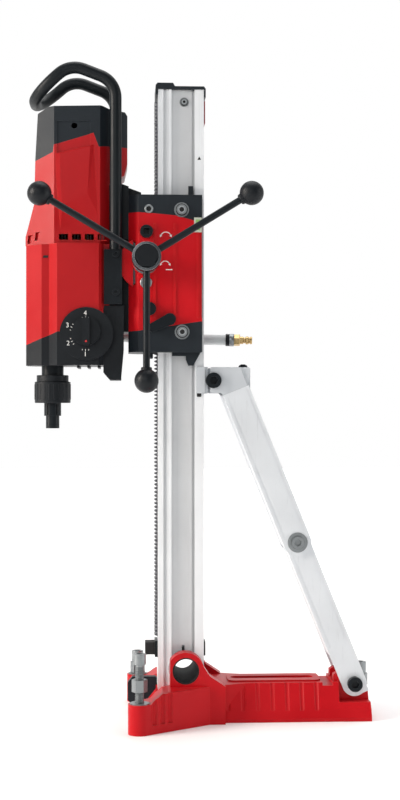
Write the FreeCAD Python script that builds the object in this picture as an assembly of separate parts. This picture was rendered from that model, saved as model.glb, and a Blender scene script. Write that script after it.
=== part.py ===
import FreeCAD, Part
import math
import os
from FreeCAD import Placement, Rotation
from FreeCAD import Vector as V

os.makedirs("parts", exist_ok=True)

# Core drill rig: X runs from the spindle (-) to the brace (+), Y across, Z up. Millimetres.
# The origin is on the floor, under the middle of the column.

# ---- driving dimensions ----
RAIL_FRONT, RAIL_BACK, RAIL_HALF = -38.1, 38.2, 35.0
RAIL_BOTTOM, RAIL_TOP = 51.0, 1050.0
RAIL_SOLID_TOP = 131.0           # the extrusion is filled below this height
PIVOT_X, PIVOT_Z = 6.7, 88.1     # tilt axis of the column
TUBE_OUT_R, TUBE_IN_R = 22.0, 19.7
LUG_IN, LUG_OUT, LUG_R = 46.0, 72.0, 30.3
RUN_FIT = 0.06                   # radial clearance of a running fit
GAP = 0.3                        # clearance between moving faces

FOOT_X, FOOT_Y, FOOT_R = -70.0, 132.0, 18.7
FOOT_TOP = 48.0
FLUTES = 7                       # grooves down each flank of the base
REAR_SCREW_X = 306.0
SCREW_R, SCREW_LEN, SCREW_HEAD_R, SCREW_HEAD_LEN = 7.0, 88.0, 10.0, 17.0
SCREW_HIGH, SCREW_LOW = 128.0, 89.0
LOCK_NUT_R, LOCK_NUT_LEN = 12.7, 20.0
THREAD_PITCH, THREAD_DEPTH = 2.5, 0.8
POINTER_X, POINTER_Z, POINTER_Y0, POINTER_Y1 = -30.0, 52.0, 37.0, 49.6   # hole-centre pointer

BRACE_X, BRACE_Z, BRACE_LEAN = 290.8, 58.1, 22.1      # lower pivot, lean from vertical in degrees
HEAD_X, HEAD_Z = 53.9, 565.6                          # upper pivot
STRUT_HALF_Y, STRUT_HALF = 36.0, 20.8
SLEEVE_HALF_Y, SLEEVE_HALF, SLEEVE_WALL = 40.4, 23.25, 2.1
CLAMP_AT, STRUT_TOP_AT, SLEEVE_TOP_AT = 256.0, 300.0, 530.0   # distances along the strut

CAR_FRONT, CAR_BACK, CAR_HALF = -87.0, 34.0, 62.0
CAR_BOTTOM, CAR_TOP = 612.0, 871.0
BORE_HALF, BORE_WIDE = 36.5, 44.0
WHEEL_X, WHEEL_Z, WHEEL_Y = -59.6, 758.3, -165.0
RACK_MODULE, PINION_TEETH, RACK_TEETH = 2.0, 18, 143
FEED_MODULE, FEED_TEETH, FINE_TEETH = 1.5, 51, 17
FINE_X, FINE_Z = -58.0, 809.3
SPOKE_REACH, BALL_R, SPOKE_R = 195.0, 19.2, 5.5
SPOKE_ANGLES = (149.5, 31.5, -90.0)

SPINDLE_X = -214.2
MOTOR_X = -158.0
MID_X, MID_Y = -181.1, 24.6
GEAR_BOTTOM, GEAR_TOP, MOTOR_TOP = 590.0, 789.0, 1016.0
PLATE_Z0, PLATE_Z1 = 730.0, 742.0
WALL = 6.0
HANDLE_R, HANDLE_Y, HANDLE_X, HANDLE_FOOT = 9.8, 62.0, -108.4, 780.0
HANDLE_KNEE, HANDLE_CREST, HANDLE_TIP = (-108.4, 1056.0), (-183.0, 1084.0), (-243.0, 1031.0)
DIAL_X, DIAL_Z, DIAL_R, KNOB_R = -156.0, 641.0, 43.5, 23.0
KNOB_Z = DIAL_Z + 3.6
SWITCH_X, SWITCH_Z = -187.0, 960.0
HOSE_R = 9.0
HOSE_ROUTE = [(-118, 86, 646), (-76, 93, 641), (-30, 97, 640), (27, 95, 639), (83, 90, 638)]

NODES = {}


# ---- helpers ----
def box(x0, x1, y0, y1, z0, z1):
    return Part.makeBox(x1 - x0, y1 - y0, z1 - z0, V(x0, y0, z0))


def place(axis, u, v, a):
    """A point from its place a along the axis and its two cross coordinates."""
    return {"x": V(a, u, v), "y": V(u, a, v), "z": V(u, v, a)}[axis]


def cyl(axis, u, v, r, a0, a1):
    direction = {"x": V(1, 0, 0), "y": V(0, 1, 0), "z": V(0, 0, 1)}[axis]
    return Part.makeCylinder(r, a1 - a0, place(axis, u, v, a0), direction)


def ring(axis, u, v, r_out, r_in, a0, a1):
    return cyl(axis, u, v, r_out, a0, a1).cut(cyl(axis, u, v, r_in, a0 - 1, a1 + 1))


def prism(axis, points, a0, a1):
    """A closed outline in the plane across the axis, pushed from a0 to a1."""
    corners = [place(axis, u, v, a0) for u, v in points]
    face = Part.Face(Part.makePolygon(corners + corners[:1]))
    push = place(axis, 0, 0, a1 - a0)
    return face.extrude(push)


def mirrored(points):
    """An outline given for one side of Y = 0, closed by its mirror image."""
    return points + [(x, -y) for x, y in reversed(points)]


def mirrored_across(points):
    """The same for an outline in the YZ plane."""
    return points + [(-y, z) for y, z in reversed(points)]


def union(*shapes):
    first, rest = shapes[0], list(shapes[1:])
    return first.fuse(rest).removeSplitter() if rest else first


def both_sides(shape):
    return [shape, shape.mirror(V(0, 0, 0), V(0, 1, 0))]


def soften(shape, radius, chosen):
    """Round the edges that chosen(edge) picks; the plain shape stays if the kernel refuses."""
    edges = [e for e in shape.Edges if chosen(e)]
    try:
        rounded = shape.makeFillet(radius, edges)
        return rounded if rounded.isValid() and rounded.Volume > 0 else shape
    except Part.OCCError:
        return shape


def vertical(edge):
    return edge.BoundBox.ZLength > 3 and edge.BoundBox.XLength < 0.01 and edge.BoundBox.YLength < 0.01


def hexagon(u, v, across_corners):
    return [(u + across_corners * math.cos(math.radians(60 * k)),
             v + across_corners * math.sin(math.radians(60 * k))) for k in range(6)]


def gear_outline(module, teeth, u, v, tooth_at, play=0.3):
    """Straight-flanked spur gear; one tooth is centred at the angle tooth_at, in degrees."""
    pitch_r = module * teeth / 2
    levels = ((pitch_r - 1.2 * module, 0.30), (pitch_r, 0.25), (pitch_r + 0.95 * module, 0.12))
    points = []
    for k in range(teeth):
        middle = math.radians(tooth_at) + 2 * math.pi * k / teeth
        flank = [(r, max(share * 2 * math.pi / teeth - play / 2 / r, 0.004)) for r, share in levels]
        for r, half in flank:
            points.append((u + r * math.cos(middle - half), v + r * math.sin(middle - half)))
        for r, half in reversed(flank):
            points.append((u + r * math.cos(middle + half), v + r * math.sin(middle + half)))
    return points


def rounded_path(points, radii):
    """Straight runs joined by tangent arcs of the given radii at the inner points."""
    pts = [V(*p) for p in points]
    edges, start = [], pts[0]
    for k, radius in enumerate(radii, 1):
        into = (pts[k] - pts[k - 1]).normalize()
        out = (pts[k + 1] - pts[k]).normalize()
        turn = into.getAngle(out)
        reach = radius * math.tan(turn / 2)
        a, b = pts[k] - into * reach, pts[k] + out * reach
        bisector = (out - into).normalize()
        middle = pts[k] + bisector * (radius / math.cos(turn / 2) - radius)
        edges.append(Part.LineSegment(start, a).toShape())
        edges.append(Part.Arc(a, middle, b).toShape())
        start = b
    edges.append(Part.LineSegment(start, pts[-1]).toShape())
    return Part.Wire(edges)


def swept(path, r):
    start = path.Edges[0].firstVertex().Point
    direction = path.Edges[0].tangentAt(path.Edges[0].FirstParameter)
    profile = Part.Wire([Part.makeCircle(r, start, direction)])
    return Part.Solid(path.makePipeShell([profile], True, False))


def hose_radii(route):
    pts = [V(*p) for p in route]
    radii = []
    for k in range(1, len(pts) - 1):
        into, out = pts[k] - pts[k - 1], pts[k + 1] - pts[k]
        turn = into.getAngle(out)
        radii.append(0.45 * min(into.Length, out.Length) / math.tan(turn / 2))
    return radii


def node(name, *shapes):
    NODES[name] = shapes[0] if len(shapes) == 1 else Part.makeCompound(list(shapes))


def strut_frame(shape):
    """From the strut's own frame (Z along it, origin at the lower pivot) to the rig's."""
    moved = shape.copy()
    moved.Placement = Placement(V(BRACE_X, 0, BRACE_Z), Rotation(V(0, 1, 0), -BRACE_LEAN))
    return moved


# ---- base ----
def base_casting():
    section = mirrored_across([(-60, 0), (-60, 6), (-56.5, 20), (-42, 62)])
    hull = prism("x", section, 48, 318)
    rear = [(40, 0), (316.5, 0), (316, 20), (314, 47), (310, 56), (304, 62), (40, 62)]
    hull = hull.common(prism("y", rear, -70, 70))
    for k in range(FLUTES):
        low, high = V(78 + 24.5 * k, -60.5, 20), V(78 + 24.5 * k, -44.0, 66)
        flute = Part.makeCylinder(5.0, (high - low).Length, low, high - low)
        for cutter in both_sides(flute):
            hull = hull.cut(cutter)
    rim = box(79, 235, -30, 30, 60, 64.5)
    rim = soften(rim, 12, vertical)
    lug_side = [(-19, 0), (-19, PIVOT_Z), (26.7, 108.6), (46.6, 79), (72, 62), (72, 0)]
    lug = prism("y", lug_side, -LUG_OUT, -LUG_IN)
    crown = cyl("y", PIVOT_X, PIVOT_Z, LUG_R, -LUG_OUT, -LUG_IN)
    lug = union(lug, crown.common(box(-19, 60, -80, 0, PIVOT_Z - 5, 130)))
    arm_plan = [(-57, -145.2), (66, -58), (108, -42), (108, -38), (-19, -38), (-19, -50), (-83.5, -118.2)]
    arm = prism("z", arm_plan, 0, 62)
    arm_top = [(-100, -1), (110, -1), (110, 62), (-33, 62), (-44, 55), (-52, FOOT_TOP), (-100, FOOT_TOP)]
    arm = arm.common(prism("y", arm_top, -150, 0))
    for x, y in ((-44, -139), (-31, -130), (-19, -121.5)):
        arm = arm.cut(cyl("z", x, y, 5.5, 14, 70))
    boss = cyl("z", FOOT_X, -FOOT_Y, FOOT_R, 0, FOOT_TOP)
    half = union(lug, arm, boss)
    web = box(40, 60, -60, 60, 0, 60)
    floor_bar = box(-14, 60, -50, 50, 4, 30)
    brace_lug = prism("y", [(256, 50), (256, 73), (262, 77), (297, 77), (306, 66), (306, 50)], 17, 31)
    shape = union(hull, rim, web, floor_bar, *both_sides(half), *both_sides(brace_lug))
    inner = mirrored_across([(-52, -1), (-49, 17), (-36, 54)])
    shape = shape.cut(prism("x", inner, 68, 255))
    for cutter in both_sides(box(263, 320, 31.1, 70, 30.5, 90)):
        shape = shape.cut(cutter)
    arm_pocket = prism("z", [(-52, -128), (56, -54), (56, -50), (-10, -50), (-60, -106)], -1, 38)
    for cutter in both_sides(arm_pocket):
        shape = shape.cut(cutter)
    slot = union(box(95, 215, -10, 10, 40, 70), cyl("z", 95, 0, 10, 40, 70), cyl("z", 215, 0, 10, 40, 70))
    shape = shape.cut(slot)
    shape = shape.cut(box(236, 254, -70, 70, 57, 80))
    shape = shape.cut(cyl("y", PIVOT_X, PIVOT_Z, TUBE_OUT_R, -90, 90))
    shape = shape.cut(cyl("y", PIVOT_X, PIVOT_Z, 28.5, -LUG_IN, LUG_IN))
    for x, y in ((FOOT_X, -FOOT_Y), (FOOT_X, FOOT_Y), (REAR_SCREW_X, 0)):
        shape = shape.cut(cyl("z", x, y, SCREW_R + RUN_FIT, -5, 100))
    shape = shape.cut(box(REAR_SCREW_X - 16, REAR_SCREW_X + 16, -16.9, 16.9, FOOT_TOP, 90))
    shape = shape.cut(cyl("y", BRACE_X, BRACE_Z, 6.2, -60, 60))
    return union(shape, box(-36, -16, 50, 62, 40, 60), cyl("y", POINTER_X, POINTER_Z, 7, 50, 62))


def threaded_shank(x, y, z0, z1):
    """A round bar with a groove at every turn of the thread."""
    outline = [(0, z0), (SCREW_R - THREAD_DEPTH, z0)]
    for k in range(int((z1 - z0) / THREAD_PITCH) - 1):
        z = z0 + THREAD_PITCH * k
        outline += [(SCREW_R, z + 0.4 * THREAD_PITCH), (SCREW_R, z + 0.6 * THREAD_PITCH),
                    (SCREW_R - THREAD_DEPTH, z + THREAD_PITCH)]
    outline += [(SCREW_R - THREAD_DEPTH, z1), (0, z1)]
    shape = Part.Face(Part.makePolygon([V(r, 0, z) for r, z in outline + outline[:1]]))
    shape = shape.revolve(V(0, 0, 0), V(0, 0, 1), 360)
    shape.translate(V(x, y, 0))
    return shape


def levelling_screw(x, y, top, nut_z):
    shank = threaded_shank(x, y, top - SCREW_LEN, top - SCREW_HEAD_LEN)
    head = cyl("z", x, y, SCREW_HEAD_R, top - SCREW_HEAD_LEN, top)
    socket = prism("z", hexagon(x, y, 5.8), top - 8, top + 1)
    nut = prism("z", hexagon(x, y, LOCK_NUT_R), nut_z, nut_z + LOCK_NUT_LEN)
    return union(shank, head, nut).cut(socket)


def base_parts():
    node("base_casting", base_casting())
    node("pivot_tube", ring("y", PIVOT_X, PIVOT_Z, TUBE_OUT_R, TUBE_IN_R, -LUG_OUT + 1, LUG_OUT - 1))
    washers = [ring("z", FOOT_X, y, 16.0, SCREW_R + 0.5, FOOT_TOP, FOOT_TOP + 1.6)
               for y in (-FOOT_Y, FOOT_Y)]
    washers.append(ring("z", REAR_SCREW_X, 0, 13.0, SCREW_R + 0.5, FOOT_TOP, FOOT_TOP + 1.6)
                   .common(box(290, REAR_SCREW_X + 8, -20, 20, 40, 60)))
    node("screw_washers", *washers)
    node("levelling_screw_near", levelling_screw(FOOT_X, -FOOT_Y, SCREW_HIGH, 67.0))
    node("levelling_screw_far", levelling_screw(FOOT_X, FOOT_Y, SCREW_LOW, FOOT_TOP + 1.9))
    node("levelling_screw_rear", levelling_screw(REAR_SCREW_X, 0, SCREW_LOW, FOOT_TOP + 1.9))
    side = [(-88, 20), (-88, 50), (-80, 60), (-40, 60), (-40, 40), (-60, 14), (-82, 14)]
    arm = prism("y", side, POINTER_Y0, POINTER_Y1)
    hub = cyl("y", POINTER_X, POINTER_Z, 8, POINTER_Y0, POINTER_Y1)
    link = box(-41, POINTER_X, POINTER_Y0, POINTER_Y1, 46, 58)
    node("centre_pointer", union(arm, hub, link))


# ---- column ----
def rail_outline():
    front = RAIL_FRONT
    half = [(front, -RAIL_HALF), (-29, -RAIL_HALF), (-29, -30.5), (-24, -30.5), (-24, -33), (-20, -33),
            (-20, -RAIL_HALF), (-15.6, -RAIL_HALF), (-15.6, -29), (18.5, -29), (18.5, -26), (22.8, -26),
            (22.8, -RAIL_HALF), (RAIL_BACK, -RAIL_HALF)]
    return mirrored(half)


def rail():
    shape = prism("z", rail_outline(), RAIL_BOTTOM, RAIL_TOP)
    for x0, x1, y in ((-32, -20, 26), (-15, 13, 24), (26, 33.5, 30)):
        shape = shape.cut(box(x0, x1, -y, y, RAIL_SOLID_TOP, RAIL_TOP + 1))
    shape = shape.cut(box(RAIL_FRONT - 1, -33.1, -12.5, 12.5, RAIL_SOLID_TOP, RAIL_TOP + 1))
    shape = shape.cut(cyl("y", PIVOT_X, PIVOT_Z, TUBE_OUT_R + RUN_FIT, -50, 50))
    shape = shape.cut(box(1.6, 6.4, -50, 50, PIVOT_Z, 124))
    return shape


def rack_screw_heights():
    return [160 + 140 * k for k in range(7)]


def rack():
    pitch = math.pi * RACK_MODULE
    pitch_x = WHEEL_X + RACK_MODULE * PINION_TEETH / 2
    below = math.floor((WHEEL_Z - RAIL_SOLID_TOP) / pitch)
    first = WHEEL_Z - below * pitch
    points = [(-33.1, first), (pitch_x + 1.25 * RACK_MODULE, first)]
    slope = math.tan(math.radians(20))
    play = 0.12
    for k in range(RACK_TEETH):
        middle = first + (k + 0.5) * pitch
        for side in (-1, 1):
            steps = (1.25 * RACK_MODULE, -RACK_MODULE) if side < 0 else (-RACK_MODULE, 1.25 * RACK_MODULE)
            for dx in steps:
                half = pitch / 4 + dx * slope - play
                points.append((pitch_x + dx, middle + side * half))
    last = first + RACK_TEETH * pitch
    points += [(pitch_x + 1.25 * RACK_MODULE, last), (-33.1, last)]
    shape = prism("y", points, -12.5, 12.5)
    for z in rack_screw_heights():
        shape = shape.cut(cyl("x", 0, z, 3.2, -50, -30))
    return shape


def end_cap():
    outline = [(-42, 1041), (-38.2, 1041), (-38.2, RAIL_TOP), (38.4, RAIL_TOP), (38.4, 1037),
               (41.3, 1037), (41.3, 1051), (38.5, 1055), (-10, 1055), (-13, 1060.5), (-39, 1060.5),
               (-42, 1057)]
    shape = prism("y", outline, -37, 37)
    plugs = [box(x0 + 0.3, x1 - 0.3, -y + 0.3, y - 0.3, RAIL_TOP - 10, RAIL_TOP + 1)
             for x0, x1, y in ((-32, -20, 26), (-15, 13, 24), (26, 33.5, 30))]
    return union(shape, *plugs)


def column_parts():
    node("rail", rail())
    node("rack", rack())
    screws = []
    for z in rack_screw_heights():
        screws.append(union(cyl("x", 0, z, 3.2, -38.7, -33.1), cyl("x", 0, z, 1.5, -34, -33.1)))
    node("rail_end_cap", end_cap())
    cheek = ring("y", PIVOT_X, PIVOT_Z, 27.5, TUBE_OUT_R + RUN_FIT, RAIL_HALF, LUG_IN - GAP)
    node("rail_foot_cheeks", *both_sides(cheek))
    stop = union(cyl("y", 5.5, 1029.6, 7.6, -31, -29), cyl("y", 5.5, 1029.6, 5.2, -34.6, -31))
    node("rail_screws", *screws, *both_sides(stop))
    node("bottom_stop_plate", box(-43.0, RAIL_FRONT, -20, 20, 103, 130))
    rubber = soften(box(-59, -43.0, -15, 15, 106, 127), 3, lambda e: e.BoundBox.XLength > 10)
    node("rubber_stops", rubber, box(RAIL_BACK, 42, -16, 16, 104, 127))


# ---- brace ----
def brace_bracket():
    flange = box(25.7, 40, RAIL_HALF, 42, 544, 588)
    back = box(RAIL_BACK, 44.5, -38, 38, 544, 588)
    lug = union(box(40, HEAD_X, 13, 24, 552, 579), cyl("y", HEAD_X, HEAD_Z, 13.4, 13, 24))
    shape = union(back, *both_sides(flange), *both_sides(lug))
    return shape.cut(cyl("y", HEAD_X, HEAD_Z, 8.3, -30, 30))


def inner_strut():
    lower_plate = union(box(-STRUT_HALF, STRUT_HALF, 31.5, STRUT_HALF_Y, 0, 62),
                        cyl("y", 0, 0, STRUT_HALF, 31.5, STRUT_HALF_Y),
                        box(0, 18, 31.5, STRUT_HALF_Y, -19.6, 0))
    tube_half = box(-STRUT_HALF, STRUT_HALF, -STRUT_HALF_Y, STRUT_HALF_Y, 60, STRUT_TOP_AT)
    hollow = box(-STRUT_HALF + 3, STRUT_HALF - 3, -31.5, 31.5, 50, STRUT_TOP_AT + 1)
    strut = union(tube_half.cut(hollow), *both_sides(lower_plate))
    strut = strut.cut(cyl("y", 0, 0, 6.2, -60, 60))
    for u in (-15, 15):
        groove = box(u - 0.9, u + 0.9, STRUT_HALF_Y - 0.8, STRUT_HALF_Y + 1, 70, STRUT_TOP_AT + 1)
        for cutter in both_sides(groove):
            strut = strut.cut(cutter)
    node("brace_inner_strut", strut_frame(strut))
    bolt = union(cyl("y", BRACE_X, BRACE_Z, 6.1, 17.5, 37), cyl("y", BRACE_X, BRACE_Z, 12.3, 36.2, 46))
    bolt = bolt.cut(prism("y", hexagon(BRACE_X, BRACE_Z, 6.9), 40, 47))
    node("brace_foot_bolts", *both_sides(bolt))


def outer_strut():
    inside = SLEEVE_HALF - SLEEVE_WALL
    side_wall = box(-SLEEVE_HALF, SLEEVE_HALF, STRUT_HALF_Y + 0.4, SLEEVE_HALF_Y, CLAMP_AT, SLEEVE_TOP_AT)
    rounded = cyl("y", 0, CLAMP_AT, SLEEVE_HALF, STRUT_HALF_Y + 0.4, SLEEVE_HALF_Y)
    wide = box(-SLEEVE_HALF, SLEEVE_HALF, -SLEEVE_HALF_Y, SLEEVE_HALF_Y, CLAMP_AT, SLEEVE_TOP_AT)
    void = box(-inside, inside, -STRUT_HALF_Y - 0.4, STRUT_HALF_Y + 0.4, CLAMP_AT - 1, SLEEVE_TOP_AT + 1)
    sleeve = union(wide.cut(void), *both_sides(union(side_wall, rounded)))
    for u in (-17.5, 17.5):
        groove = box(u - 0.9, u + 0.9, SLEEVE_HALF_Y - 0.8, SLEEVE_HALF_Y + 1,
                     CLAMP_AT + 12, SLEEVE_TOP_AT - 6)
        for cutter in both_sides(groove):
            sleeve = sleeve.cut(cutter)
    sleeve = sleeve.cut(cyl("y", 0, CLAMP_AT, 6.2, -60, 60))
    node("brace_outer_strut", strut_frame(sleeve))


def brace_head():
    inside = SLEEVE_HALF - SLEEVE_WALL
    side = [(46, 549), (46, 583), (50.5, 587.7), (113, 587.7), (115.5, 585.2), (115.5, 543.5), (112.5, 540.5),
            (71, 540.5), (67, 544.5), (50.5, 544.5)]
    head = prism("y", side, -SLEEVE_HALF_Y, SLEEVE_HALF_Y)
    head = head.cut(box(40, 84, -27, 27, 500, 600))
    head = head.cut(box(40, 48.5, -50, 50, 500, 600))
    outer_sleeve = box(-SLEEVE_HALF, SLEEVE_HALF, -SLEEVE_HALF_Y, SLEEVE_HALF_Y, 200, SLEEVE_TOP_AT)
    spigot = box(-inside, inside, -STRUT_HALF_Y - 0.4, STRUT_HALF_Y + 0.4,
                 SLEEVE_TOP_AT - 11, SLEEVE_TOP_AT + 22)
    spigot = strut_frame(spigot).common(box(60, 113, -41, 41, 500, 586))
    head = union(head.cut(strut_frame(outer_sleeve)), spigot)
    head = head.cut(box(40, 84, -27, 27, 500, 600))
    for cutter in both_sides(cyl("y", HEAD_X, HEAD_Z, 8.1, 26, 60)):
        head = head.cut(cutter)
    corner = [(99, 589), (117, 589), (117, 548), (114.5, 548)]
    corner_recess = prism("y", corner, SLEEVE_HALF_Y - 2.5, SLEEVE_HALF_Y + 1)
    for cutter in both_sides(corner_recess):
        head = head.cut(cutter)
    node("brace_head", max(head.Solids, key=lambda s: s.Volume))
    top_bolt = union(cyl("y", HEAD_X, HEAD_Z, 8.0, 27.5, SLEEVE_HALF_Y),
                     cyl("y", HEAD_X, HEAD_Z, 13.0, SLEEVE_HALF_Y, 49))
    top_bolt = top_bolt.cut(prism("y", hexagon(HEAD_X, HEAD_Z, 7.4), 43, 50))
    dome = union(cyl("z", 106.5, 0, 7.5, 587.7, 590.7), cyl("z", 106.5, 0, 6.2, 590.7, 592.2),
                 cyl("z", 106.5, 0, 4.0, 592.2, 593.2))
    node("brace_head_bolts", dome, *both_sides(top_bolt))
    clamp = union(cyl("y", 0, CLAMP_AT, 6.1, STRUT_HALF_Y + 0.5, SLEEVE_HALF_Y),
                  cyl("y", 0, CLAMP_AT, 16.5, SLEEVE_HALF_Y, SLEEVE_HALF_Y + 2.5),
                  cyl("y", 0, CLAMP_AT, 11.0, SLEEVE_HALF_Y + 2.5, SLEEVE_HALF_Y + 8))
    clamp = clamp.cut(prism("y", hexagon(0, CLAMP_AT, 5.5), SLEEVE_HALF_Y + 4, SLEEVE_HALF_Y + 9))
    node("brace_clamp_bolts", *[strut_frame(s) for s in both_sides(clamp)])


def brace_parts():
    node("brace_bracket", brace_bracket())
    inner_strut()
    outer_strut()
    brace_head()


# ---- carriage ----
def carriage_plan():
    half = [(CAR_FRONT, -46), (-71, -CAR_HALF), (CAR_BACK, -CAR_HALF), (CAR_BACK, -BORE_WIDE),
            (22, -BORE_WIDE), (22, -BORE_HALF), (-46, -BORE_HALF)]
    return mirrored(half)


def carriage_parts():
    full = prism("z", carriage_plan(), CAR_BOTTOM, CAR_TOP)
    top_line = [(-110, 843), (-71, 842), (-44, 840), (-11, 837), (27, 827), (60, 824), (60, 900), (-110, 900)]
    low_line = [(-110, 645), (-71, 647), (-44, 651), (-11, 656), (27, 662), (60, 665), (60, 560), (-110, 560)]
    top_zone = prism("y", top_line, -90, 90)
    low_zone = prism("y", low_line, -90, 90)
    ribs = [box(x - 1.6, x + 1.6, y0, y1, 668, 824) for x in (-44, -11, 27)
            for y0, y1 in ((-CAR_HALF - 1.5, -CAR_HALF + 1), (CAR_HALF - 1, CAR_HALF + 1.5))]
    bulge = cyl("y", WHEEL_X, WHEEL_Z, 43.4, -60, -41).common(box(-110, -80, -60, -40, 700, 820))
    collar = cyl("y", WHEEL_X, WHEEL_Z, 21, -84, -60)
    neck = prism("y", [(-72, 760), (-47, 760), (-46, FINE_Z), (-70, FINE_Z)], -66, -60)
    housing = union(full.cut(top_zone).cut(low_zone), bulge, collar, neck, *ribs)
    for y0, y1 in ((-58, -42), (42, 58)):
        housing = housing.cut(box(-16, 16, y0, y1, 680, 815))
    housing = housing.cut(box(-84, -40, -16, 16, 735, 782))
    housing = housing.cut(cyl("y", WHEEL_X, WHEEL_Z, 12 + RUN_FIT, -90, 56))
    housing = housing.cut(cyl("y", WHEEL_X, WHEEL_Z, 40.3, -57, -43))
    housing = housing.cut(cyl("y", FINE_X, FINE_Z, 15.0, -57, -43))
    housing = housing.cut(cyl("y", FINE_X, FINE_Z, 8 + RUN_FIT, -70, -20))
    housing = housing.cut(cyl("y", -53, 683, 7 + RUN_FIT, -66, -40))
    housing = housing.cut(cyl("y", -53, 683, 11.4, -66, -CAR_HALF))
    housing = housing.cut(cyl("y", -19.7, 665.4, 6 + RUN_FIT, -66, -35))
    housing = housing.cut(box(-22, -17, -38, -30, 640, 690))
    node("carriage_housing", housing)

    wide = 43.0
    finger = [box(12, 20, y0, y1, CAR_TOP, 888) for y0, y1 in ((-wide, -BORE_HALF), (BORE_HALF, wide))]
    node("carriage_top_cover", union(full.common(top_zone), *finger))
    tail = [(8, 613), (8, 600), (12, 590), (20, 590), (33, 613)]
    wiper = [(-15, 613), (-15, 606), (8, 606), (8, 613)]
    narrow = box(21.9, 40, -BORE_WIDE, BORE_WIDE, 580, 620)
    tails = []
    for y0, y1 in ((-wide - 3, -BORE_HALF), (BORE_HALF, wide + 3)):
        tails.append(prism("y", wiper, y0, y1))
        tails.append(prism("y", tail, y0, y1).cut(narrow))
    chin = box(-58, -46.3, -30, 30, 603, 613)
    low_cover = union(full.common(low_zone), chin, *tails)
    low_cover = low_cover.cut(cyl("y", -19.7, 665.4, 6 + RUN_FIT, -66, -35))
    low_cover = low_cover.cut(box(-22, -17, -38, -30, 640, 690))
    node("carriage_bottom_cover", low_cover)

    shoes = []
    for z0, z1 in ((828, 860), (632, 660)):
        for y0, y1 in ((-BORE_HALF, -29.3), (29.3, BORE_HALF)):
            shoes.append(box(-13, 16, y0, y1, z0, z1))
    node("guide_shoes", *shoes)


def carriage_fittings():
    bolts = []
    for x, z in ((0, 846), (0.9, 645)):
        bolt = union(cyl("y", x, z, 12.3, -64, -CAR_HALF), cyl("y", x, z, 8.5, -69, -64))
        bolt = bolt.cut(prism("y", hexagon(x, z, 4.6), -70, -66))
        bolts += both_sides(bolt)
    node("guide_bolts", *bolts)
    vial = box(20.5, 33, -66.5, -CAR_HALF - 1.5, 809, 833)
    node("level_vial", vial.cut(box(23, 30.5, -67, -65.5, 812, 830)))

    lever = union(cyl("y", -19.7, 665.4, 10, -74, -65.4), cyl("y", -19.7, 665.4, 6, -66, -38),
                  prism("y", [(-24, 674), (-52, 658), (-56, 650), (-50, 644), (-17, 656)], -74, -66))
    node("carriage_lock_lever", lever)
    pin = union(cyl("y", -53, 683, 7, -64, -42), cyl("y", -53, 683, 11, -69, -62.3))
    node("drive_lock_pin", pin.cut(box(-54.5, -51.5, -70, -67, 670, 696)))


def feed_parts():
    turn = math.degrees(math.atan2(FINE_Z - WHEEL_Z, FINE_X - WHEEL_X))
    shaft = cyl("y", WHEEL_X, WHEEL_Z, 12, -148, 54)
    teeth = prism("y", gear_outline(RACK_MODULE, PINION_TEETH, WHEEL_X, WHEEL_Z, 0), -11.5, 11.5)
    node("feed_pinion_shaft", union(shaft, teeth))
    feed = prism("y", gear_outline(FEED_MODULE, FEED_TEETH, WHEEL_X, WHEEL_Z, turn + 180 / FEED_TEETH),
                 -55, -45)
    node("feed_gear", feed.cut(cyl("y", WHEEL_X, WHEEL_Z, 12, -60, -40)))
    fine = union(cyl("y", FINE_X, FINE_Z, 8, -62, -22),
                 cyl("y", FINE_X, FINE_Z, 10.6, -76, -66.3), cyl("y", FINE_X, FINE_Z, 8, -67, -60),
                 prism("y", gear_outline(FEED_MODULE, FINE_TEETH, FINE_X, FINE_Z, turn + 180), -55.5, -44.5))
    fine = fine.cut(box(FINE_X - 5, FINE_X + 5, -77, -68, FINE_Z - 5, FINE_Z + 5))
    node("fine_feed_shaft", fine)

    hub = union(cyl("y", WHEEL_X, WHEEL_Z, 23, -178, -148.1), cyl("y", WHEEL_X, WHEEL_Z, 20.5, -181, -178))
    spokes, balls = [], []
    for angle in SPOKE_ANGLES:
        out = V(math.cos(math.radians(angle)), 0, math.sin(math.radians(angle)))
        centre = V(WHEEL_X, WHEEL_Y, WHEEL_Z)
        spokes.append(Part.makeCylinder(SPOKE_R, SPOKE_REACH - 15 - 16, centre + out * 16, out))
        balls.append(Part.makeSphere(BALL_R, centre + out * SPOKE_REACH))
    hub = hub.cut(Part.makeCompound(spokes))
    node("handwheel_hub", hub)
    node("handwheel_spokes", *spokes)
    cap = soften(prism("y", hexagon(WHEEL_X, WHEEL_Z, 18.8), -186, -181), 4, lambda e: e.BoundBox.YLength > 4)
    node("handwheel_knobs", cap, *[b.cut(s) for b, s in zip(balls, spokes)])


# ---- drive unit ----
def gear_plan(inset=0.0):
    half = [(-257 + inset, -25 + inset * 0.4), (-230 + inset * 0.4, -56 + inset),
            (-217.5 + inset * 0.5, -56 + inset), (-204 + inset * 0.5, -75 + inset),
            (-136 - inset * 0.5, -75 + inset), (-128 - inset * 0.5, -61 + inset), (-119 - inset, -61 + inset)]
    return mirrored(half)


def motor_plan(front, inset=0.0):
    half = [(front + inset, -25 + inset * 0.4), (-209 + inset * 0.4, -66 + inset),
            (-134 - inset * 0.5, -66 + inset), (-119 - inset, -50 + inset)]
    return mirrored(half)


def cap_zone():
    line = [(-300, 925), (-240, 928), (-211, 939), (-209.5, 951), (-150.7, 969), (-144.6, 971), (-136, 948),
            (-120, 951), (-60, 951), (-60, 1100), (-300, 1100)]
    return prism("y", line, -90, 90)


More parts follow.
